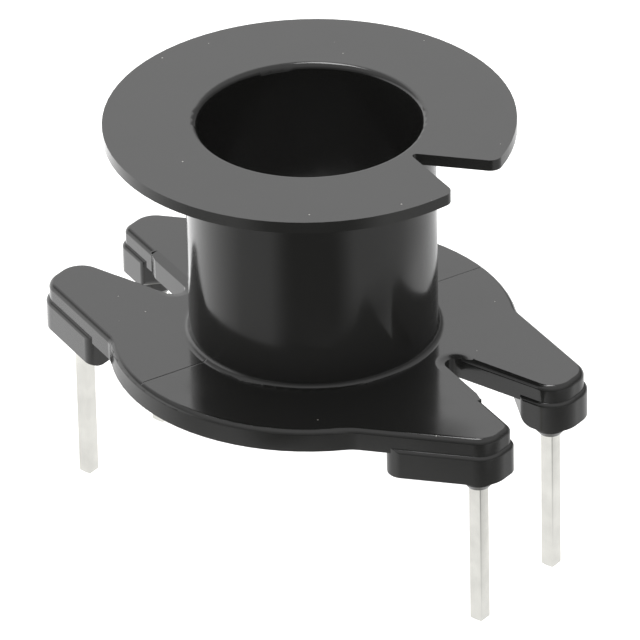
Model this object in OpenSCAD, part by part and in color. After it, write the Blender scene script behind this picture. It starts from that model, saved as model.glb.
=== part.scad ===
// Coil former of a small ferrite transformer core: one moulded body that stands on four square pins.
// Lengths are in millimetres. Z runs up the bore and the pin tips stand on Z = 0. X runs from one pair of
// legs to the other, towards the side where the upper flange is slotted.

/* [Bore and tube] */
// Diameter of the bore that slides over the core's centre post
bore_diameter = 6.5; // [5.5:0.05:7]
// Wall of the tube that carries the winding
tube_wall = 0.4; // [0.3:0.05:0.5]
// Height of the winding space between the flange and the base plate
winding_height = 6.55; // [4:0.05:12]
// Radius of the rounded mouth at each end of the bore
mouth_round = 0.2; // [0.1:0.05:0.3]
// Radius of the fillet where the tube meets the base plate
tube_fillet = 0.2; // [0.1:0.05:0.25]

/* [Upper flange] */
// Diameter of the upper flange
flange_diameter = 12; // [11.4:0.1:13]
// Thickness of the upper flange
flange_thickness = 0.35; // [0.35:0.05:0.6]
// Angle between the two sides of the flange's wire slot
flange_slot_angle = 48; // [36:1:56]
// Land left between the tube and the end of the flange's wire slot
flange_slot_land = 0.05; // [0.05:0.05:0.3]
// Radius at the inner end of the flange's wire slot
flange_slot_round = 0.12; // [0.08:0.02:0.2]
// Radius of the two corners where the flange's wire slot meets the rim
flange_corner_round = 0.35; // [0.2:0.05:0.5]

/* [Base plate] */
// Diameter of the round middle of the base plate
base_diameter = 12; // [11.6:0.05:12.6]
// Thickness of the base plate
plate_thickness = 0.7; // [0.65:0.05:1]
// Radius of the rounded upper edge of the base plate
plate_edge_round = 0.2; // [0.1:0.02:0.2]
// Distance from the bore's axis to the end of each leg
leg_reach = 8.1; // [7.9:0.05:8.6]
// Distance from the bore's axis to the line of a leg's outer side
leg_side_offset = 5.53; // [5.35:0.01:5.65]
// Angle between a leg's outer side and the long axis
leg_side_angle = 24; // [20:1:28]
// Radius of the corners at the end of each leg
leg_end_round = 0.75; // [0.5:0.05:0.8]
// Radius of the corner between the end of a leg and the sloped side of a wire slot
leg_tip_round = 0.35; // [0.2:0.05:0.5]
// Radius of the hollow blend from the round middle into a leg's outer side
leg_blend = 1; // [0.4:0.1:1.5]

/* [Wire slots between the legs] */
// Distance from the long axis to the straight side of a wire slot
wire_slot_side = 0.9; // [0.7:0.05:1]
// Angle between the straight side and the sloped side of a wire slot
wire_slot_angle = 24; // [18:1:26]
// Land left between the tube and the end of a wire slot
wire_slot_land = 0.7; // [0.6:0.05:1]
// Radius at the inner end of a wire slot
wire_slot_round = 0.3; // [0.2:0.05:0.35]
// Distance from the bore's axis to the outer end of the lip on the sloped side
wire_lip_reach = 6.5; // [6.2:0.05:6.8]
// How far the lip stands out from the sloped side
wire_lip = 0.1; // [0.05:0.05:0.2]
// Length of the slanted outer end of the lip
wire_lip_taper = 0.35; // [0.2:0.05:0.5]
// Width of the shallow lead-in ramp on the lip
wire_ramp_width = 0.3; // [0.2:0.05:0.35]
// Drop of the lead-in ramp at the wire slot's edge
wire_ramp_drop = 0.06; // [0.04:0.02:0.12]

/* [Feet] */
// Depth of each foot below the base plate
foot_depth = 0.75; // [0.5:0.05:1.2]
// How far a foot stands proud of its leg
foot_ledge = 0.1; // [0.03:0.01:0.12]
// Depth of the ledge on top of a foot, below the plate's upper face
foot_ledge_drop = 0.53; // [0.4:0.01:0.6]
// Radius of the shoulder along the ledge on top of a foot
foot_shoulder_round = 0.15; // [0.13:0.01:0.2]
// Distance from the bore's axis to the inner end of a foot, along the leg's outer side
foot_outer_start = 5.03; // [4.9:0.01:5.3]
// Distance from the bore's axis to the inner end of a foot, along the wire slot
foot_inner_start = 6.7; // [6.6:0.05:6.9]
// Width of a foot's heel, in from the leg's outer side to where it slants towards the wire slot
foot_heel_width = 0.5; // [0.3:0.05:0.9]
// Radius of the upright corner where a foot's heel meets the leg's outer side
foot_heel_corner = 0.5; // [0.3:0.05:0.55]
// Radius of the other upright corners at the inner end of a foot
foot_corner_round = 0.25; // [0.15:0.05:0.3]
// Radius of the lower edge at the inner end of a foot
foot_heel_round = 0.3; // [0.1:0.05:0.4]
// Radius of the collar round a pin, at the foot
collar_radius = 0.48; // [0.42:0.02:0.6]
// Radius of the collar round a pin, at its lower end
collar_tip_radius = 0.34; // [0.34:0.01:0.4]
// Height of the collar, which holds the foot off the board
collar_height = 0.61; // [0.4:0.01:0.8]
// Height of the slanted lower end of the collar
collar_bevel = 0.18; // [0.1:0.02:0.3]

/* [Terminal pins] */
// Width of a square pin
pin_size = 0.42; // [0.35:0.01:0.46]
// Distance between the two pairs of pins, along the long axis
pin_row_spacing = 14.37; // [14.2:0.01:14.5]
// Distance between the two pins of a pair
pin_pair_spacing = 3.59; // [3.4:0.01:3.7]
// Free length of a pin below its foot
pin_length = 5.2; // [3:0.1:8]
// Length of pin held inside the leg
pin_grip = 1.1; // [0.6:0.05:1.15]
// Size of the chamfer round a pin's tip
pin_chamfer = 0.1; // [0.05:0.01:0.15]

/* [Hidden] */
$fn = 96;

// Cuts run this far past a face
cut = 1;

// Edge cuts run this far past the faces and stand out by this much. Where two of them meet, one runs on
// until it is this much deeper than the other, so that no thin wall is left between them.
edge_spare = 0.05;
edge_nudge = 0.004;
edge_rise = 0.002;

// Rounds in a leg's outline stand out by this much, so that they cross the straight sides clearly
round_nudge = 0.001;

// Levels above the pin tips
foot_z = pin_length;
plate_z = foot_z + foot_depth;
plate_top_z = plate_z + plate_thickness;
flange_z = plate_top_z + winding_height;
top_z = flange_z + flange_thickness;
foot_top_z = plate_top_z - foot_ledge_drop;

// Upper edges that are rounded, as [height, radius]
plate_edge = [plate_top_z, plate_edge_round];
foot_edge = [foot_top_z, foot_shoulder_round];

bore_radius = bore_diameter / 2;
tube_radius = bore_radius + tube_wall;
flange_radius = flange_diameter / 2;
base_radius = base_diameter / 2;

// A side is [normal x, normal y, distance of its line from the axis]. The normal points out of the leg.
// Both legs of a pair are drawn above the long axis, and the second one is mirrored into place.
outer_side = [sin(leg_side_angle), cos(leg_side_angle), leg_side_offset];
straight_side = [0, -1, -wire_slot_side];
slot_centre = [tube_radius + wire_slot_land + wire_slot_round, wire_slot_side - wire_slot_round];
lip_normal = [sin(wire_slot_angle), -cos(wire_slot_angle)];
lip_offset = lip_normal * [slot_centre.x, -slot_centre.y] - wire_slot_round;
lip_side = [lip_normal.x, lip_normal.y, lip_offset];
sloped_side = [lip_normal.x, lip_normal.y, lip_offset - wire_lip];

// Hollow blend from the round middle of the plate into a leg's outer side: the arc's centre and two ends
blend_depth = leg_side_offset + leg_blend;
blend_reach = base_radius + leg_blend;
blend_run = sqrt(blend_reach * blend_reach - blend_depth * blend_depth);
blend_centre = blend_depth * [outer_side.x, outer_side.y] + blend_run * [outer_side.y, -outer_side.x];
blend_on_leg = blend_centre - leg_blend * [outer_side.x, outer_side.y];
blend_on_plate = blend_centre * base_radius / blend_reach;

// Corner of each pin in turn, going round from the slotted side
pin_corners = [[1, 1], [-1, 1], [-1, -1], [1, -1]];

// Point at a given x that lies a given depth inside a side
function inside(side, x, depth) = [x, (side[2] - depth - side.x * x) / side.y];

// Circle [x, y, radius] that touches a side from within, at a given x
function touching(side, x, radius, proud = 0) = concat(inside(side, x, radius - proud), [radius]);

// The two ends of the straight line that joins two circles on their right-hand side
function joined(a, b) =
    let (
        run = [b.x - a.x, b.y - a.y],
        along = run / norm(run),
        lean = (a.z - b.z) / norm(run),
        out = [along.y, -along.x] * sqrt(1 - lean * lean) + along * lean
    )
    [[a.x, a.y] + a.z * out, [b.x, b.y] + b.z * out];

// Convex outline round a ring of circles, listed anticlockwise. The circles may stand out a little.
module outline(circles, nudge = 0) {
    last = len(circles) - 1;
    polygon([for (i = [0:last]) each joined(circles[i], circles[i == last ? 0 : i + 1])]);
    for (c = circles)
        if (c.z > 0)
            translate([c.x, c.y]) circle(c.z + nudge);
}

// The end of a leg, as the two corner circles that its outlines share
function leg_end(inner, tip, proud) = [
    touching(inner, leg_reach - tip, tip + proud, proud),
    touching(outer_side, leg_reach - leg_end_round, leg_end_round + proud, proud)
];

// A leg, from its end back to the tube
module leg(inner, tip) {
    outer_root = outer_side[2] * [outer_side.x, outer_side.y];
    inner_root = inside(inner, slot_centre.x, 0);
    roots = [concat(outer_root, [0]), concat(inner_root, [0])];
    outline(concat(leg_end(inner, tip, 0), roots), round_nudge);
}

// Hollow blend from the round middle of the plate into a leg's outer side
module blend() {
    difference() {
        polygon([[0, 0], blend_on_leg, blend_centre, blend_on_plate]);
        translate(blend_centre) circle(leg_blend + round_nudge);
    }
}

// The two legs of one pair, without the slot between them
module leg_pair() {
    leg(straight_side, leg_end_round);
    blend();
    mirror([0, 1]) {
        leg(sloped_side, leg_tip_round);
        blend();
        polygon([
            [slot_centre.x, -slot_centre.y],
            inside(lip_side, wire_lip_reach - wire_lip_taper, 0),
            inside(sloped_side, wire_lip_reach, 0),
            inside(sloped_side, wire_lip_reach, wire_lip),
            inside(sloped_side, slot_centre.x, wire_lip)
        ]);
    }
}

// Open space between the two legs of a pair, as far as the end of the lip
module wire_slot() {
    end_x = leg_reach + cut;
    straight_end = concat(inside(straight_side, end_x, 0), [0]);
    lip_end = inside(lip_side, end_x, 0);
    outline([concat(slot_centre, [wire_slot_round]), [lip_end.x, -lip_end.y, 0], straight_end]);
}

module base_outline() {
    difference() {
        union() {
            circle(base_radius);
            for (turn = [0, 180])
                rotate(turn) leg_pair();
        }
        for (turn = [0, 180])
            rotate(turn) wire_slot();
    }
}

// Section of an edge cut. The edge is the origin and the solid lies to the right of it, below.
module edge_section(size) {
    translate([-edge_nudge, edge_nudge])
        difference() {
            translate([-edge_spare, -size]) square(size + edge_spare);
            translate([size, -size]) circle(size);
        }
}

// How far an edge cut runs on past the end of an arc
function lap(radius) = sqrt(2 * radius * edge_rise);

// Rounds an upper edge along a straight line, with the solid on the left of the line.
// The cut runs past the line's ends by the lengths before and after.
module line_round(edge, from, to, before, after) {
    run = to - from;
    translate([from.x, from.y, edge[0]])
        rotate([0, 0, atan2(run.y, run.x)])
            translate([-before, 0, 0])
                rotate([90, 0, 90])
                    linear_extrude(norm(run) + before + after) edge_section(edge[1]);
}

// Rounds an upper edge along the arc of an outer corner, and a little past the arc's ends
module corner_round(edge, centre, radius, start, turn, past) {
    more = past / radius * 180 / PI;
    translate([centre.x, centre.y, edge[0]])
        rotate([0, 0, start - more])
            rotate_extrude(angle = turn + 2 * more)
                translate([radius, 0]) rotate(-90) edge_section(edge[1]);
}

// Rounds an upper edge along the arc of a hollow. Its neighbours reach past its ends.
module hollow_round(edge, centre, radius, start, turn) {
    less = lap(radius) / radius * 90 / PI;
    translate([centre.x, centre.y, edge[0]])
        rotate([0, 0, start + less])
            rotate_extrude(angle = turn - 2 * less) translate([radius, 0]) edge_section(edge[1]);
}

// Rounds an upper edge round the end of a leg or foot, between a point on its inner and one on its outer side
module end_round(edge, inner, tip, proud, from, to) {
    ends = leg_end(inner, tip, proud);
    tip_centre = [ends[0].x, ends[0].y];
    outer_centre = [ends[1].x, ends[1].y];
    tip_radius = ends[0].z;
    outer_radius = ends[1].z;
    inner_turn = -atan2(inner.y, inner.x);
    side_turn = 90 - leg_side_angle;
    end_x = leg_reach + proud;
    tip_lap = lap(tip_radius);
    outer_lap = lap(outer_radius);
    line_round(edge, from, tip_centre + tip_radius * [inner.x, inner.y], 0, -tip_lap / 2);
    corner_round(edge, tip_centre, tip_radius, -inner_turn, inner_turn, tip_lap);
    line_round(edge, [end_x, tip_centre.y], [end_x, outer_centre.y], -tip_lap / 2, -outer_lap / 2);
    corner_round(edge, outer_centre, outer_radius, 0, side_turn, outer_lap);
    outer_turn = outer_radius * [outer_side.x, outer_side.y];
    line_round(edge, outer_centre + outer_turn, to, -outer_lap / 2, lap(leg_blend));
}

// Rounds the whole upper edge of the plate, apart from the wire slots' inner ends and lips
module plate_round() {
    blend_turn = atan2(blend_centre.y, blend_centre.x);
    hollow_turn = 90 - leg_side_angle - blend_turn;
    slot_start = inside(straight_side, slot_centre.x, 0);
    lip_end = inside(sloped_side, wire_lip_reach, 0);
    for (turn = [0, 180])
        rotate([0, 0, turn]) {
            end_round(plate_edge, straight_side, leg_end_round, 0, slot_start, blend_on_leg);
            corner_round(plate_edge, [0, 0], base_radius, blend_turn, 180 - 2 * blend_turn, lap(leg_blend));
            mirror([0, 1, 0])
                end_round(plate_edge, sloped_side, leg_tip_round, 0, lip_end, blend_on_leg);
            for (side = [0, 1])
                mirror([0, side, 0])
                    hollow_round(plate_edge, blend_centre, leg_blend, blend_turn + 180, hollow_turn);
        }
}

// Shallow ramp that leads a wire over the lip and round the end of the wire slot
module wire_ramp() {
    tilt = atan2(wire_ramp_drop, wire_ramp_width);
    start = [slot_centre.x, slot_centre.y] - wire_slot_round * [lip_normal.x, -lip_normal.y];
    run = (wire_lip_reach - start.x) / cos(wire_slot_angle);
    rise = 1.25;
    wide = wire_slot_round + rise * wire_ramp_width;
    translate([slot_centre.x, slot_centre.y, plate_top_z - wire_ramp_drop])
        cylinder(h = rise * wire_ramp_drop, r1 = wire_slot_round, r2 = wide);
    translate([start.x, start.y, plate_top_z - wire_ramp_drop])
        rotate([0, 0, -wire_slot_angle])
            rotate([-tilt, 0, 0])
                translate([0, -rise * wire_ramp_width, 0])
                    cube([run, rise * wire_ramp_width, cut]);
}

// Rounds the lower edge of a foot's heel along a line
module heel_round(line) {
    run = line[1] - line[0];
    size = cut + foot_heel_round;
    translate([line[0].x, line[0].y, foot_z - edge_nudge])
        rotate([0, 0, atan2(run.y, run.x)])
            translate([0, -edge_nudge, 0])
                difference() {
                    translate([-cut, -cut, -cut]) cube([norm(run) + 2 * cut, size, size]);
                    translate([-2 * cut, foot_heel_round, foot_heel_round])
                        rotate([0, 90, 0])
                            cylinder(h = norm(run) + 4 * cut, r = foot_heel_round);
                }
}

// One foot, with its rounded heel and shoulder
module foot(inner, tip) {
    heel_outer = touching(outer_side, foot_outer_start + foot_heel_corner, foot_heel_corner, foot_ledge);
    heel_turn = [foot_outer_start + foot_corner_round, heel_outer.y - foot_heel_width, foot_corner_round];
    heel_inner = touching(inner, foot_inner_start + foot_corner_round, foot_corner_round, foot_ledge);
    heel = [heel_outer, heel_turn, heel_inner];
    inner_end = inside(inner, foot_inner_start, -foot_ledge);
    outer_end = inside(outer_side, foot_outer_start, -foot_ledge);
    difference() {
        translate([0, 0, foot_z])
            linear_extrude(foot_top_z - foot_z)
                outline(concat(leg_end(inner, tip, foot_ledge), heel), round_nudge);
        heel_round(joined(heel_outer, heel_turn));
        heel_round(joined(heel_turn, heel_inner));
        end_round(foot_edge, inner, tip, foot_ledge, inner_end, outer_end);
    }
}

module feet() {
    for (turn = [0, 180])
        rotate(turn) {
            foot(straight_side, leg_end_round);
            mirror([0, 1, 0]) foot(sloped_side, leg_tip_round);
        }
}

// Moves its children to one pin's place
module at_pin(corner) {
    translate([corner.x * pin_row_spacing / 2, corner.y * pin_pair_spacing / 2, 0]) children();
}

// Collar below a foot, which narrows at its lower end
module collar() {
    translate([0, 0, foot_z - collar_height])
        cylinder(h = collar_bevel, r1 = collar_tip_radius, r2 = collar_radius);
    translate([0, 0, foot_z - collar_height + collar_bevel])
        cylinder(h = collar_height - collar_bevel, r = collar_radius);
}

// Upper flange, seen from above
module flange_outline() {
    half = flange_slot_angle / 2;
    slot_x = tube_radius + flange_slot_land + flange_slot_round;
    edge = [-sin(half), cos(half)];
    edge_offset = edge * [slot_x, 0] + flange_slot_round;
    along = [cos(half), sin(half)];
    depth = edge_offset + flange_corner_round;
    reach = flange_radius - flange_corner_round;
    corner = depth * edge + sqrt(reach * reach - depth * depth) * along;
    mouth = 2 * flange_radius;
    mouth_half = (edge_offset - edge.x * mouth) / edge.y;
    on_edge = corner - flange_corner_round * edge;
    on_rim = corner * flange_radius / reach;
    difference() {
        circle(flange_radius);
        outline([[slot_x, 0, flange_slot_round], [mouth, -mouth_half, 0], [mouth, mouth_half, 0]]);
        for (side = [0, 1])
            mirror([0, side])
                difference() {
                    polygon([on_edge, [on_rim.x + cut, on_edge.y - cut], [on_rim.x + cut, on_rim.y], on_rim]);
                    translate(corner) circle(flange_corner_round);
                }
    }
}

// Ring that fills or opens a rounded inner corner, drawn in the plane of the bore's section
module corner_fill(size) {
    difference() {
        square(size);
        translate([size, size]) circle(size);
    }
}

module coil_former() {
    tube_height = flange_z + flange_thickness / 2 - plate_z;
    color([0.1, 0.1, 0.1])
        difference() {
            union() {
                translate([0, 0, flange_z]) linear_extrude(flange_thickness) flange_outline();
                translate([0, 0, plate_z]) cylinder(h = tube_height, r = tube_radius);
                translate([0, 0, plate_z]) linear_extrude(plate_thickness) base_outline();
                translate([0, 0, plate_top_z])
                    rotate_extrude() translate([tube_radius, 0]) corner_fill(tube_fillet);
                feet();
                for (corner = pin_corners)
                    at_pin(corner) collar();
            }
            translate([0, 0, plate_z - cut]) cylinder(h = top_z - plate_z + 2 * cut, r = bore_radius);
            translate([0, 0, top_z])
                mirror([0, 0, 1])
                    rotate_extrude() translate([bore_radius, 0]) corner_fill(mouth_round);
            translate([0, 0, plate_z])
                rotate_extrude() translate([bore_radius, 0]) corner_fill(mouth_round);
            plate_round();
            for (turn = [0, 180])
                rotate(turn) wire_ramp();
            for (corner = pin_corners)
                at_pin(corner)
                    translate([-pin_size / 2, -pin_size / 2, foot_z - cut])
                        cube([pin_size, pin_size, cut + pin_grip]);
        }
}

// Square pin with its four tip edges chamfered
module terminal_pin(corner) {
    color([0.83, 0.83, 0.81])
        at_pin(corner)
            difference() {
                translate([-pin_size / 2, -pin_size / 2, 0])
                    cube([pin_size, pin_size, foot_z + pin_grip]);
                for (turn = [0:90:270])
                    rotate(turn)
                        translate([pin_size / 2 - pin_chamfer, 0, 0])
                            rotate([0, -45, 0])
                                translate([0, -pin_size, -cut]) cube([cut, 2 * pin_size, cut]);
            }
}

coil_former();
terminal_pin(pin_corners[0]);  // terminal_pin_1
terminal_pin(pin_corners[1]);  // terminal_pin_2
terminal_pin(pin_corners[2]);  // terminal_pin_3
terminal_pin(pin_corners[3]);  // terminal_pin_4
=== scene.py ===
"""Dresses a transformer bobbin: a black moulded coil former that stands on four square tinned pins.

The file is laid out as an add-on with one operator for each group of pieces and one for the stage.
Lengths are in metres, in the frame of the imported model: Z runs up the bore, and the pin tips stand on
Z = 0.
"""

import math

import bmesh
import bpy
from bpy.props import FloatProperty, FloatVectorProperty, IntProperty, PointerProperty
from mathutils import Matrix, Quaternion, Vector


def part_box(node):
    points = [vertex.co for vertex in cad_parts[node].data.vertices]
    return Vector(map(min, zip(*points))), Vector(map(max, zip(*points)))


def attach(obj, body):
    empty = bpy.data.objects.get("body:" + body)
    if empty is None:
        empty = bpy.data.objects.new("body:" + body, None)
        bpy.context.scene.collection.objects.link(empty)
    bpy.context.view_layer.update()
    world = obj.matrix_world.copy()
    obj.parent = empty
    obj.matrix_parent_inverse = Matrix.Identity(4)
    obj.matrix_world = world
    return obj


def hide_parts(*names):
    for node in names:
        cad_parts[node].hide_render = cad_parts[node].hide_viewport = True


bl_info = {
    "name": "Transformer Bobbin",
    "version": (1, 0, 0),
    "blender": (4, 5, 0),
    "location": "View3D > Sidebar > Bobbin",
    "description": "Coil former on four tinned pins, with its studio stage",
    "category": "Object",
}

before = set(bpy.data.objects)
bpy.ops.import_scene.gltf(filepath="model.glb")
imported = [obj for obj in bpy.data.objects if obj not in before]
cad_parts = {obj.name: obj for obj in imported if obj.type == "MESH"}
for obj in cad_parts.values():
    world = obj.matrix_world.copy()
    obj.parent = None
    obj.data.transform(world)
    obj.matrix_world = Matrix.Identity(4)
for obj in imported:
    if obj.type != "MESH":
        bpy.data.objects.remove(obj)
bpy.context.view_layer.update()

MM = 0.001
PINS = ["terminal_pin_1", "terminal_pin_2", "terminal_pin_3", "terminal_pin_4"]
PIN_LOW, PIN_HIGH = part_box(PINS[0])
PIN_CENTRE = (PIN_LOW + PIN_HIGH) / 2

# Stage: the sheet that only mirrors lies just under the pin tips, and the lamp stands over the part
STAGE_WIDTH = 3
MIRROR_DEPTH = 0.01 * MM
SQUARE = [(-1, -1), (1, -1), (1, 1), (-1, 1)]
LAMP_DIRECTION = (-0.235, 0.115, 0.965)
LAMP_DISTANCE = 0.5
LAMP_WIDTH = 0.17
CAMERA_AIM = Vector((-1.66, 2.5, 5.02)) * MM
SENSOR_WIDTH = 36
NEAREST_SEEN = 0.01


def linear(hex_text):
    """Linear red, green and blue of an sRGB colour such as 1c1c1b."""
    values = [int(hex_text[i:i + 2], 16) / 255 for i in (0, 2, 4)]
    return tuple(v / 12.92 if v <= 0.04045 else ((v + 0.055) / 1.055) ** 2.4 for v in values)


def length(name, description, millimetres):
    """A size that a user may change, in metres."""
    return FloatProperty(
        name=name, description=description, default=millimetres * MM, min=0, unit="LENGTH", precision=5
    )


def angle(name, description, degrees):
    """An angle that a user may change."""
    return FloatProperty(
        name=name, description=description, default=math.radians(degrees), subtype="ANGLE"
    )


def share(name, description, default):
    """A plain number from 0 to 1 that a user may change."""
    return FloatProperty(
        name=name, description=description, default=default, min=0, max=1, subtype="FACTOR"
    )


def brightness(name, description, default):
    """A strength of light that a user may change, where 1 shows as white."""
    return FloatProperty(name=name, description=description, default=default, min=0)


def colour(name, description, hex_text):
    """A colour that a user may change."""
    return FloatVectorProperty(
        name=name, description=description, default=linear(hex_text),
        min=0, max=1, size=3, subtype="COLOR",
    )


class CoilFormerSettings(bpy.types.PropertyGroup):
    """What a user would change on the moulded coil former."""

    body: colour("Moulding", "Colour of the black moulding compound", "232322")
    dust: colour("Dust", "Colour of the dust specks that lie on its upper faces", "b9b7b1")
    dust_size: length("Dust Size", "Radius of the largest dust speck", 0.03)
    gloss_low: share("Smoothest Skin", "Roughness where the moulded skin is smoothest", 0.1)
    gloss_high: share("Dullest Skin", "Roughness where the moulded skin is dullest", 0.17)
    seam_angle: angle("Seam Angle", "Angle of the mould's parting plane from the long axis", 69)
    seam_width: length("Seam Width", "Width of the parting line's witness mark", 0.065)
    seam_top: length("Seam Top", "Height at which the witness mark runs out", 6.86)


class TerminalPinSettings(bpy.types.PropertyGroup):
    """What a user would change on the four pins."""

    tin: colour("Tin", "Colour of the tinned wire", "ecebe5")
    row_spacing: length("Row Spacing", "Distance between the two pairs of pins", 2 * PIN_CENTRE.x / MM)
    pair_spacing: length("Pair Spacing", "Distance between the pins of a pair", 2 * PIN_CENTRE.y / MM)
    width: length("Width", "Width of a square pin", (PIN_HIGH.x - PIN_LOW.x) / MM)
    height: length("Height", "Whole length of a pin, with its grip in the leg", PIN_HIGH.z / MM)
    chamfer: length("Tip Chamfer", "Size of the chamfer round the tip", 0.1)
    edge_round: length("Edge Round", "Radius of the long edges of the drawn wire", 0.035)
    edge_steps: IntProperty(
        name="Edge Steps", description="Facets round each long edge", default=4, min=1
    )


class StageSettings(bpy.types.PropertyGroup):
    """What a user would change on the stage."""

    floor: colour("Floor", "Colour of the pale floor", "f4f4f2")
    window: brightness("Window", "Brightness that the side behind the part adds to the surround", 0.9)
    overhead: brightness("Overhead", "Brightness of the surround overhead", 0.9)
    horizon: brightness("Horizon", "Brightness of the surround at its lowest", 0.3)
    low_left: brightness("Low Left", "Brightness added low down on the left", 1.3)
    lamp: brightness("Lamp", "Brightness of the small lamp overhead", 9)
    paper_glow: brightness("Paper Glow", "Light that the paper under the part gives by itself", 0.8)
    table_left: brightness("Table Left", "Mirrored brightness of the table's left side", 0.5)
    table_right: brightness("Table Right", "Mirrored brightness of the table's right side", 0.55)
    far_left: brightness("Far Left", "Mirrored brightness of the table behind, on the left", 2.4)
    far_right: brightness("Far Right", "Mirrored brightness of the table behind, on the right", 1.22)
    paper_front: brightness("Paper Front", "Mirrored brightness of the paper in front of the part", 0.16)
    paper_back: brightness("Paper Back", "Mirrored brightness of the paper under the part", 1.0)
    bright_spot: brightness("Bright Spot", "Mirrored brightness that a spot on the paper adds", 1.2)
    azimuth: angle("Azimuth", "Side that the camera looks from", 37.06)
    elevation: angle("Elevation", "Height that the camera looks from", 30.62)
    roll: angle("Roll", "Tip of the camera about its own line of sight", -1.226)
    distance: length("Distance", "Distance of the camera from the point it looks at", 265.7)
    lens: FloatProperty(
        name="Lens", description="Focal length on a 36 mm sensor", default=504.3, unit="CAMERA"
    )


def add_node(tree, kind, links=None, **settings):
    """Adds one node. Links maps an input's name or number to the socket that feeds it or to its value."""
    node = tree.nodes.new(kind)
    for name, value in settings.items():
        setattr(node, name, value)
    for key, value in (links or {}).items():
        if isinstance(value, bpy.types.NodeSocket):
            tree.links.new(value, node.inputs[key])
        else:
            node.inputs[key].default_value = value
    return node


def new_material(name):
    """A material with nothing but its shader, which is returned with the material's node tree."""
    material = bpy.data.materials.new(name)
    material.use_nodes = True
    tree = material.node_tree
    tree.nodes.clear()
    shader = add_node(tree, "ShaderNodeBsdfPrincipled")
    add_node(tree, "ShaderNodeOutputMaterial", {"Surface": shader.outputs["BSDF"]})
    return material, tree, shader


def per_mm(size):
    """Texture scale at which one step of a pattern is this many millimetres."""
    return 1 / (size * MM)


def moulded_phenolic(settings):
    """Black phenolic compound, moulded in a polished tool: nearly black, with a glossy, uneven skin.

    The eye sees the white surround mirrored at a slant, the dark parts mirrored in each other, the thin
    line where the mould halves met, and a few specks of dust on the faces that look up.
    """
    material, tree, shader = new_material("moulded_black_phenolic")
    place = add_node(tree, "ShaderNodeTexCoord").outputs["Object"]

    # Slow changes of gloss, from the way the compound filled the mould
    flow = add_node(tree, "ShaderNodeTexNoise", {"Vector": place, "Scale": per_mm(1.4), "Detail": 3.0})
    gloss = add_node(tree, "ShaderNodeMapRange", {
        "Value": flow.outputs["Fac"], "From Min": 0.35, "From Max": 0.65,
        "To Min": settings.gloss_low, "To Max": settings.gloss_high,
    })

    # The filler's fine grain is a few hundredths of a millimetre, drawn coarser so that it shows
    grain = add_node(tree, "ShaderNodeTexNoise", {"Vector": place, "Scale": per_mm(0.12), "Detail": 2.0})
    grain_bump = add_node(tree, "ShaderNodeBump", {
        "Height": grain.outputs["Fac"], "Strength": 0.06, "Distance": 0.002 * MM,
    })

    # Shallow sink marks that bend the mirrored shapes a little
    sink = add_node(tree, "ShaderNodeTexNoise", {"Vector": place, "Scale": per_mm(2.2), "Detail": 1.0})
    sink_bump = add_node(tree, "ShaderNodeBump", {
        "Height": sink.outputs["Fac"], "Strength": 0.3, "Distance": 0.02 * MM,
        "Normal": grain_bump.outputs["Normal"],
    })

    # Faces that look up, where the dust lies and the parting line shows
    facing = add_node(tree, "ShaderNodeNewGeometry").outputs["Normal"]
    upward = add_node(tree, "ShaderNodeSeparateXYZ", {"Vector": facing})
    least_rise = 0.7
    lies = add_node(tree, "ShaderNodeMath", {
        0: upward.outputs["Z"], 1: least_rise,
    }, operation="GREATER_THAN")

    # Witness mark of the parting plane, which holds the bore's axis and ends at the foot of the tube
    across = (math.sin(settings.seam_angle), -math.cos(settings.seam_angle), 0)
    off_plane = add_node(tree, "ShaderNodeVectorMath", {0: place, 1: across}, operation="DOT_PRODUCT")
    gap = add_node(tree, "ShaderNodeMath", {0: off_plane.outputs["Value"]}, operation="ABSOLUTE")
    line = add_node(tree, "ShaderNodeMapRange", {
        "Value": gap.outputs[0], "From Min": 0.0, "From Max": settings.seam_width / 2,
        "To Min": 1.0, "To Max": 0.0,
    }, interpolation_type="SMOOTHSTEP")
    height = add_node(tree, "ShaderNodeSeparateXYZ", {"Vector": place})
    low = add_node(tree, "ShaderNodeMath", {
        0: height.outputs["Z"], 1: settings.seam_top,
    }, operation="LESS_THAN")
    level = add_node(tree, "ShaderNodeMath", {
        0: low.outputs[0], 1: lies.outputs[0],
    }, operation="MULTIPLY")
    seam = add_node(tree, "ShaderNodeMath", {
        0: line.outputs["Result"], 1: level.outputs[0],
    }, operation="MULTIPLY")
    seam_bump = add_node(tree, "ShaderNodeBump", {
        "Height": seam.outputs[0], "Strength": 0.8, "Distance": 0.015 * MM,
        "Normal": sink_bump.outputs["Normal"],
    }, invert=True)

    # Dust: one speck in about every seventh cell, with cells of this many millimetres
    cell = 0.3
    bare_share = 0.86
    cells = add_node(tree, "ShaderNodeTexVoronoi", {"Vector": place, "Scale": per_mm(cell)})
    chance = add_node(tree, "ShaderNodeSeparateColor", {"Color": cells.outputs["Color"]})
    radius = add_node(tree, "ShaderNodeMapRange", {
        "Value": chance.outputs["Red"], "From Min": bare_share, "From Max": 1.0,
        "To Min": 0.0, "To Max": settings.dust_size / (cell * MM),
    })
    speck = add_node(tree, "ShaderNodeMath", {
        0: cells.outputs["Distance"], 1: radius.outputs["Result"],
    }, operation="LESS_THAN")
    dusty = add_node(tree, "ShaderNodeMath", {
        0: speck.outputs[0], 1: lies.outputs[0],
    }, operation="MULTIPLY")
    tint = add_node(tree, "ShaderNodeMix", {
        "Factor": dusty.outputs[0], 6: (*settings.body, 1), 7: (*settings.dust, 1),
    }, data_type="RGBA")

    tree.links.new(tint.outputs[2], shader.inputs["Base Color"])
    tree.links.new(gloss.outputs["Result"], shader.inputs["Roughness"])
    tree.links.new(seam_bump.outputs["Normal"], shader.inputs["Normal"])
    shader.inputs["IOR"].default_value = 1.55
    return material


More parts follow.
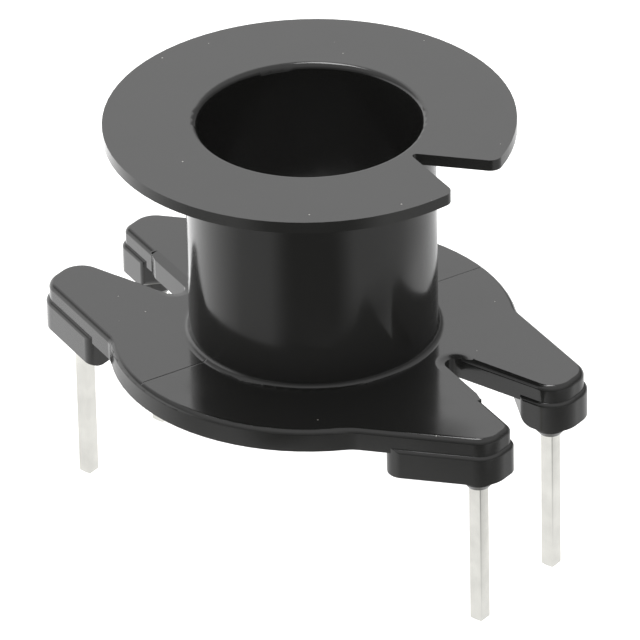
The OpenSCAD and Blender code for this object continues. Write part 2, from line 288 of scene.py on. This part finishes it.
def tinned_wire(settings):
    """Copper-clad wire, drawn square and dip-tinned: a bright metal with fine lines along its length."""
    material, tree, shader = new_material("tinned_drawn_wire")
    place = add_node(tree, "ShaderNodeTexCoord").outputs["Object"]

    # Draw lines are finer than this in the wire, and are drawn coarser, in millimetres, so that they show
    line_gap = 0.04
    line_run = 3
    stretch = add_node(tree, "ShaderNodeMapping", {
        "Vector": place, "Scale": (per_mm(line_gap), per_mm(line_gap), per_mm(line_run)),
    })
    lines = add_node(tree, "ShaderNodeTexNoise", {
        "Vector": stretch.outputs["Vector"], "Scale": 1.0, "Detail": 2.0,
    })
    line_bump = add_node(tree, "ShaderNodeBump", {
        "Height": lines.outputs["Fac"], "Strength": 0.15, "Distance": 0.003 * MM,
    })
    gloss = add_node(tree, "ShaderNodeMapRange", {
        "Value": lines.outputs["Fac"], "To Min": 0.12, "To Max": 0.26,
    })

    # The dipped tin pools a little, which clouds its colour along the pin
    pools = add_node(tree, "ShaderNodeTexNoise", {"Vector": place, "Scale": per_mm(0.8), "Detail": 2.0})
    cloud = add_node(tree, "ShaderNodeMapRange", {
        "Value": pools.outputs["Fac"], "From Min": 0.3, "From Max": 0.7, "To Min": 0.86, "To Max": 1.0,
    })
    tint = add_node(tree, "ShaderNodeMix", {
        "Factor": cloud.outputs["Result"], 6: (0, 0, 0, 1), 7: (*settings.tin, 1),
    }, data_type="RGBA")

    tree.links.new(tint.outputs[2], shader.inputs["Base Color"])
    tree.links.new(gloss.outputs["Result"], shader.inputs["Roughness"])
    tree.links.new(line_bump.outputs["Normal"], shader.inputs["Normal"])
    shader.inputs["Metallic"].default_value = 1.0
    return material


def link_mesh(name, mesh):
    """Puts a finished mesh into the scene as an object at the origin."""
    piece = bpy.data.objects.new(name, mesh)
    bpy.context.scene.collection.objects.link(piece)
    return piece


def face_groups(corners, count):
    """For each triangle, a number shared by all triangles of the same face of the solid.

    The loose mesh has its own points for each face of the solid, so a face is what hangs together.
    """
    owner = list(range(count))

    def first(point):
        while owner[point] != point:
            owner[point] = owner[owner[point]]
            point = owner[point]
        return point

    for a, b, c in corners:
        owner[first(b)] = first(a)
        owner[first(c)] = first(a)
    return [first(a) for a, b, c in corners]


def welded_mesh(solid, name):
    """A closed copy of a solid's loose triangles, with flat faces shaded flat and rounds shaded round."""
    weld = 0.002 * MM
    flat_turn = math.cos(math.radians(0.2))
    same_turn = math.cos(math.radians(16))
    loose = [tuple(corner.vertices) for corner in solid.polygons]
    groups = face_groups(loose, len(solid.vertices))
    skin = bmesh.new()
    skin.from_mesh(solid)
    skin.verts.ensure_lookup_table()
    found = bmesh.ops.find_doubles(skin, verts=skin.verts[:], dist=weld)["targetmap"]
    target = [found.get(vert, vert).index for vert in skin.verts]
    skin.free()
    kept = sorted(set(target))
    place = {old: new for new, old in enumerate(kept)}
    points = [solid.vertices[old].co.copy() for old in kept]
    welded = [tuple(place[target[old]] for old in corner) for corner in loose]
    faces = [(corner, group) for corner, group in zip(welded, groups) if len(set(corner)) == 3]

    # Normal of each face of the solid at each point, with the facets weighted by their angle there
    leans = {}
    sizes = {}
    facets = {}
    for corner, group in faces:
        a, b, c = (points[i] for i in corner)
        facet = (b - a).cross(c - a)
        if facet.length > weld * weld:
            size = facet.length
            facet.normalize()
            facets.setdefault(group, []).append(facet)
            for i in range(3):
                here, ahead, behind = (points[corner[(i + k) % 3]] for k in range(3))
                weight = (ahead - here).angle(behind - here, 0)
                leans.setdefault(corner[i], {}).setdefault(group, Vector()).xyz += weight * facet
                sizes[corner[i], group] = sizes.get((corner[i], group), 0) + size
    flat = {
        group: turns[0] for group, turns in facets.items()
        if min(turn.dot(turns[0]) for turn in turns) > flat_turn
    }

    # Faces that run smoothly into each other share a normal, which the larger one leads. A flat face gives
    # its own.
    normals = {}
    for point, around in leans.items():
        own = {group: lean.normalized() for group, lean in around.items() if lean.length > 0}
        for group, lean in own.items():
            near = [other for other in own if own[other].dot(lean) > same_turn]
            plain = [flat[other] for other in near if other in flat]
            blended = sum((sizes[point, other] * own[other] for other in near), Vector())
            total = plain[0] if plain else blended
            normals[point, group] = flat.get(group, total).normalized()

    mesh = bpy.data.meshes.new(name)
    mesh.from_pydata(points, [], [corner for corner, group in faces])
    mesh.shade_smooth()
    up = Vector((0, 0, 1))
    turns = [normals.get((i, group), up) for corner, group in faces for i in corner]
    mesh.normals_split_custom_set(turns)
    return mesh


class BOBBIN_OT_coil_former(bpy.types.Operator):
    """Makes the moulded coil former from its solid, welded and smoothly shaded"""

    bl_idname = "bobbin.coil_former"
    bl_label = "Coil Former"

    def execute(self, context):
        mesh = welded_mesh(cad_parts["coil_former"].data, "coil_former_moulding")
        mesh.materials.append(moulded_phenolic(context.scene.bobbin_former))
        piece = link_mesh("coil_former_moulding", mesh)
        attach(piece, "root")
        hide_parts("coil_former")
        return {"FINISHED"}


def terminal_pin_tree():
    """Geometry nodes that draw one square pin with a chamfered tip and set it at the four corners."""
    tree = bpy.data.node_groups.new("terminal_pins", "GeometryNodeTree")
    for name in ("Row Spacing", "Pair Spacing", "Width", "Height", "Chamfer", "Edge Round"):
        tree.interface.new_socket(name, in_out="INPUT", socket_type="NodeSocketFloat")
    tree.interface.new_socket("Edge Steps", in_out="INPUT", socket_type="NodeSocketInt")
    tree.interface.new_socket("Finish", in_out="INPUT", socket_type="NodeSocketMaterial")
    tree.interface.new_socket("Pins", in_out="OUTPUT", socket_type="NodeSocketGeometry")
    given = add_node(tree, "NodeGroupInput").outputs

    # Section of the wire: a square with rounded edges
    square = add_node(tree, "GeometryNodeCurvePrimitiveQuadrilateral", {
        "Width": given["Width"], "Height": given["Width"],
    })
    section = add_node(tree, "GeometryNodeFilletCurve", {
        "Curve": square.outputs["Curve"], "Radius": given["Edge Round"], "Count": given["Edge Steps"],
    }, mode="POLY")

    # Line of the pin, with a point at the tip, one where the chamfer ends and one inside the leg
    top = add_node(tree, "ShaderNodeCombineXYZ", {"Z": given["Height"]})
    line = add_node(tree, "GeometryNodeCurvePrimitiveLine", {"End": top.outputs["Vector"]})
    halves = add_node(tree, "GeometryNodeSubdivideCurve", {"Curve": line.outputs["Curve"], "Cuts": 1})
    number = add_node(tree, "GeometryNodeInputIndex").outputs["Index"]
    middle = add_node(tree, "FunctionNodeCompare", {2: number, 3: 1}, data_type="INT", operation="EQUAL")
    shoulder = add_node(tree, "ShaderNodeCombineXYZ", {"Z": given["Chamfer"]})
    path = add_node(tree, "GeometryNodeSetPosition", {
        "Geometry": halves.outputs["Curve"], "Selection": middle.outputs["Result"],
        "Position": shoulder.outputs["Vector"],
    })
    slimmer = add_node(tree, "ShaderNodeMath", {
        0: given["Chamfer"], 1: given["Width"],
    }, operation="DIVIDE")
    tip = add_node(tree, "ShaderNodeMath", {
        0: slimmer.outputs[0], 1: -2.0, 2: 1.0,
    }, operation="MULTIPLY_ADD")
    first = add_node(tree, "FunctionNodeCompare", {2: number, 3: 0}, data_type="INT", operation="EQUAL")
    swell = add_node(tree, "GeometryNodeSwitch", {
        "Switch": first.outputs["Result"], "False": 1.0, "True": tip.outputs[0],
    }, input_type="FLOAT")
    pin = add_node(tree, "GeometryNodeCurveToMesh", {
        "Curve": path.outputs["Geometry"], "Profile Curve": section.outputs["Curve"],
        "Scale": swell.outputs["Output"], "Fill Caps": True,
    })

    # One pin at each corner of the board grid
    corners = add_node(tree, "GeometryNodeMeshGrid", {
        "Size X": given["Row Spacing"], "Size Y": given["Pair Spacing"], "Vertices X": 2, "Vertices Y": 2,
    })
    set_out = add_node(tree, "GeometryNodeInstanceOnPoints", {
        "Points": corners.outputs["Mesh"], "Instance": pin.outputs["Mesh"],
    })
    real = add_node(tree, "GeometryNodeRealizeInstances", {"Geometry": set_out.outputs["Instances"]})
    dressed = add_node(tree, "GeometryNodeSetMaterial", {
        "Geometry": real.outputs["Geometry"], "Material": given["Finish"],
    })
    add_node(tree, "NodeGroupOutput", {"Pins": dressed.outputs["Geometry"]})
    return tree


class BOBBIN_OT_terminal_pins(bpy.types.Operator):
    """Makes the four tinned pins with geometry nodes"""

    bl_idname = "bobbin.terminal_pins"
    bl_label = "Terminal Pins"

    def execute(self, context):
        settings = context.scene.bobbin_pins
        wanted = {
            "Row Spacing": settings.row_spacing,
            "Pair Spacing": settings.pair_spacing,
            "Width": settings.width,
            "Height": settings.height,
            "Chamfer": settings.chamfer,
            "Edge Round": settings.edge_round,
            "Edge Steps": settings.edge_steps,
            "Finish": tinned_wire(settings),
        }
        seed = link_mesh("terminal_pins_seed", bpy.data.meshes.new("terminal_pins_seed"))
        maker = seed.modifiers.new("Terminal Pins", "NODES")
        maker.node_group = terminal_pin_tree()
        for item in maker.node_group.interface.items_tree:
            if item.in_out == "INPUT":
                maker[item.identifier] = wanted[item.name]
        graph = context.evaluated_depsgraph_get()
        mesh = bpy.data.meshes.new_from_object(seed.evaluated_get(graph), depsgraph=graph)
        bpy.data.objects.remove(seed)
        mesh.name = "terminal_pins"
        if not mesh.polygons:
            raise RuntimeError("the geometry nodes gave no pins")
        mesh.shade_smooth()
        sharpest_round = math.radians(28)
        mesh.set_sharp_from_angle(angle=sharpest_round)
        piece = link_mesh("terminal_pins", mesh)
        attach(piece, "root")
        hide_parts(*PINS)
        return {"FINISHED"}


def bearing(side, rise):
    """Unit vector from the part towards a side and a height, counted as the camera's place is."""
    return math.sin(side) * math.cos(rise), -math.cos(side) * math.cos(rise), math.sin(rise)


def stage_sheet(name, points, material):
    """A flat four-sided sheet that belongs to the stage."""
    mesh = bpy.data.meshes.new(name)
    mesh.from_pydata(points, [], [(0, 1, 2, 3)])
    mesh.materials.append(material)
    sheet = link_mesh(name, mesh)
    return sheet


def level_sheet(name, height, material):
    """A wide level square, centred under the part."""
    half = STAGE_WIDTH / 2
    return stage_sheet(name, [(x * half, y * half, height) for x, y in SQUARE], material)


def mirrored_only(sheet):
    """Makes a sheet of the stage mirror in the part: it isn't seen itself and throws no light or shade."""
    sheet.visible_camera = False
    sheet.visible_diffuse = False
    sheet.visible_shadow = False
    sheet.visible_transmission = False


def glow(shader, strength):
    """Makes a shader give white light of its own and nothing else."""
    shader.inputs["Base Color"].default_value = (0, 0, 0, 1)
    shader.inputs["Specular IOR Level"].default_value = 0
    shader.inputs["Emission Color"].default_value = (1, 1, 1, 1)
    shader.inputs["Emission Strength"].default_value = strength


def overhead_lamp(settings):
    """A bright square panel over the part, which draws the bright lines along its upper edges."""
    material, _, shader = new_material("lamp")
    glow(shader, settings.lamp)
    turn = Vector(LAMP_DIRECTION).to_track_quat("Z", "Y")
    half = LAMP_WIDTH / 2
    points = [turn @ Vector((x * half, y * half, LAMP_DISTANCE)) for x, y in reversed(SQUARE)]
    mirrored_only(stage_sheet("lamp", points, material))


def floor_mirror(settings):
    """What the part's upright faces mirror: white paper close by, then a table that is dark in front."""
    material, tree, shader = new_material("table_glow")
    glow(shader, 1.0)
    place = add_node(tree, "ShaderNodeTexCoord").outputs["Object"]
    front = Vector(bearing(settings.azimuth, 0))
    right = Vector(bearing(settings.azimuth + math.radians(90), 0))
    outward = add_node(tree, "ShaderNodeVectorMath", {0: place}, operation="NORMALIZE").outputs["Vector"]
    ahead, aside = (
        add_node(tree, "ShaderNodeVectorMath", {
            0: outward, 1: way,
        }, operation="DOT_PRODUCT").outputs["Value"] for way in (front, right)
    )

    # Each side of the table gets brighter from beside the part to behind it
    left_half = add_node(tree, "ShaderNodeMapRange", {
        "Value": ahead, "From Min": 0.45, "From Max": -1.0,
        "To Min": settings.table_left, "To Max": settings.far_left,
    })
    right_half = add_node(tree, "ShaderNodeMapRange", {
        "Value": ahead, "From Min": 0.1, "From Max": -1.0,
        "To Min": settings.table_right, "To Max": settings.far_right,
    })
    half = add_node(tree, "ShaderNodeMapRange", {
        "Value": aside, "From Min": -0.4, "From Max": 0.4,
        "To Min": left_half.outputs["Result"], "To Max": right_half.outputs["Result"],
    })

    # A dark gap straight in front, where the camera stands
    gap = add_node(tree, "ShaderNodeMapRange", {
        "Value": ahead, "From Min": 0.97, "From Max": 0.78, "To Min": 0.04, "To Max": 1.0,
    }, interpolation_type="SMOOTHSTEP")
    table = add_node(tree, "ShaderNodeMath", {
        0: half.outputs["Result"], 1: gap.outputs["Result"],
    }, operation="MULTIPLY")

    # The paper under the part is darker towards its front right corner and has a bright spot on the left
    corner = 0.87 * front + 0.49 * right
    forward = add_node(tree, "ShaderNodeVectorMath", {0: place, 1: corner}, operation="DOT_PRODUCT")
    shade = add_node(tree, "ShaderNodeMapRange", {
        "Value": forward.outputs["Value"], "From Min": 17 * MM, "From Max": 7 * MM,
        "To Min": settings.paper_front, "To Max": settings.paper_back,
    })
    spot_centre = Vector((-17.3, -4.2, 0)) * MM
    spot_off = add_node(tree, "ShaderNodeVectorMath", {0: place, 1: spot_centre}, operation="DISTANCE")
    spot = add_node(tree, "ShaderNodeMapRange", {
        "Value": spot_off.outputs["Value"], "From Min": 1.2 * MM, "From Max": 3.6 * MM,
        "To Min": settings.bright_spot, "To Max": 0.0,
    }, interpolation_type="SMOOTHSTEP")
    paper = add_node(tree, "ShaderNodeMath", {
        0: shade.outputs["Result"], 1: spot.outputs["Result"],
    }, operation="ADD")

    # The paper is round and ends a little way out, further on the right
    paper_centre = 3 * MM * right
    reach = add_node(tree, "ShaderNodeVectorMath", {0: place, 1: paper_centre}, operation="DISTANCE")
    level = add_node(tree, "ShaderNodeMapRange", {
        "Value": reach.outputs["Value"], "From Min": 16.4 * MM, "From Max": 17.8 * MM,
        "To Min": paper.outputs[0], "To Max": table.outputs[0],
    })
    tree.links.new(level.outputs["Result"], shader.inputs["Emission Strength"])
    mirrored_only(level_sheet("table_glow", -MIRROR_DEPTH, material))


def sky_patch(tree, toward, centre, edge, core, strength):
    """A soft round patch of light in the surround, with cosines off its centre for edge and core."""
    facing = add_node(tree, "ShaderNodeVectorMath", {0: toward, 1: centre}, operation="DOT_PRODUCT")
    patch = add_node(tree, "ShaderNodeMapRange", {
        "Value": facing.outputs["Value"], "From Min": edge, "From Max": core,
        "To Min": 0.0, "To Max": strength,
    }, interpolation_type="SMOOTHSTEP")
    return patch.outputs["Result"]


def surround(settings):
    """White surround that is brightest behind the part and dims from overhead to the horizon."""
    world = bpy.data.worlds.new("white_surround")
    world.use_nodes = True
    tree = world.node_tree
    toward = add_node(tree, "ShaderNodeTexCoord").outputs["Generated"]
    behind = settings.azimuth + math.pi
    window_place = bearing(behind + math.radians(12), math.radians(27))
    window = sky_patch(tree, toward, window_place, 0.8, 0.98, settings.window)
    height = add_node(tree, "ShaderNodeSeparateXYZ", {"Vector": toward}).outputs["Z"]
    dome = add_node(tree, "ShaderNodeMapRange", {
        "Value": height, "From Min": 0.2, "From Max": 0.8,
        "To Min": settings.horizon, "To Max": settings.overhead,
    }, interpolation_type="SMOOTHSTEP")
    high = add_node(tree, "ShaderNodeMath", {0: window, 1: dome.outputs["Result"]}, operation="ADD")

    # Low down on the left the surround is lighter, which the rounds of the left leg mirror
    left_place = bearing(behind + math.radians(70), math.radians(12))
    left = sky_patch(tree, toward, left_place, 0.6, 0.95, settings.low_left)
    low = add_node(tree, "ShaderNodeMapRange", {
        "Value": height, "From Min": 0.5, "From Max": 0.25, "To Min": 0.0, "To Max": 1.0,
    }, interpolation_type="SMOOTHSTEP")
    total = add_node(tree, "ShaderNodeMath", {
        0: left, 1: low.outputs["Result"], 2: high.outputs[0],
    }, operation="MULTIPLY_ADD")
    tree.links.new(total.outputs[0], tree.nodes["Background"].inputs["Strength"])
    tree.nodes["Background"].inputs["Color"].default_value = (1, 1, 1, 1)
    return world


def studio_camera(settings):
    """The camera at the photograph's viewing angle."""
    back = Vector(bearing(settings.azimuth, settings.elevation))
    lens = bpy.data.cameras.new("camera")
    lens.lens = settings.lens
    lens.sensor_width = SENSOR_WIDTH
    lens.clip_start = NEAREST_SEEN
    camera = bpy.data.objects.new("camera", lens)
    camera.location = CAMERA_AIM + back * settings.distance
    camera.rotation_mode = "QUATERNION"
    level = (-back).to_track_quat("-Z", "Y")
    camera.rotation_quaternion = level @ Quaternion((0, 0, 1), settings.roll)
    return camera


class BOBBIN_OT_stage(bpy.types.Operator):
    """Makes the pale floor, the soft studio light and the camera"""

    bl_idname = "bobbin.stage"
    bl_label = "Stage"

    def execute(self, context):
        settings = context.scene.bobbin_stage
        paper, _, shader = new_material("lit_white_paper")
        shader.inputs["Base Color"].default_value = (*settings.floor, 1)
        shader.inputs["Roughness"].default_value = 0.9
        shader.inputs["Specular IOR Level"].default_value = 0.1
        shader.inputs["Emission Color"].default_value = (1, 1, 1, 1)
        shader.inputs["Emission Strength"].default_value = settings.paper_glow
        floor = level_sheet("floor", 0, paper)
        floor.visible_glossy = False
        floor_mirror(settings)
        overhead_lamp(settings)
        context.scene.world = surround(settings)
        camera = studio_camera(settings)
        context.scene.collection.objects.link(camera)
        context.scene.camera = camera
        context.scene.view_settings.view_transform = "Standard"
        return {"FINISHED"}


class BOBBIN_PT_panel(bpy.types.Panel):
    """Lists the pieces and the sizes that a user would change"""

    bl_idname = "BOBBIN_PT_panel"
    bl_label = "Transformer Bobbin"
    bl_space_type = "VIEW_3D"
    bl_region_type = "UI"
    bl_category = "Bobbin"

    def draw(self, context):
        for operator, group in GROUPS:
            box = self.layout.box()
            box.operator(operator)
            settings = getattr(context.scene, group)
            for name in settings.__annotations__:
                box.prop(settings, name)


GROUPS = [
    ("bobbin.stage", "bobbin_stage"),
    ("bobbin.coil_former", "bobbin_former"),
    ("bobbin.terminal_pins", "bobbin_pins"),
]
CLASSES = [
    CoilFormerSettings,
    TerminalPinSettings,
    StageSettings,
    BOBBIN_OT_coil_former,
    BOBBIN_OT_terminal_pins,
    BOBBIN_OT_stage,
    BOBBIN_PT_panel,
]


def register():
    for item in CLASSES:
        bpy.utils.register_class(item)
    bpy.types.Scene.bobbin_former = PointerProperty(type=CoilFormerSettings)
    bpy.types.Scene.bobbin_pins = PointerProperty(type=TerminalPinSettings)
    bpy.types.Scene.bobbin_stage = PointerProperty(type=StageSettings)


def unregister():
    del bpy.types.Scene.bobbin_stage
    del bpy.types.Scene.bobbin_pins
    del bpy.types.Scene.bobbin_former
    for item in reversed(CLASSES):
        bpy.utils.unregister_class(item)


def main():
    register()
    bpy.ops.bobbin.stage()
    bpy.ops.bobbin.coil_former()
    bpy.ops.bobbin.terminal_pins()


if __name__ == "__main__":
    main()
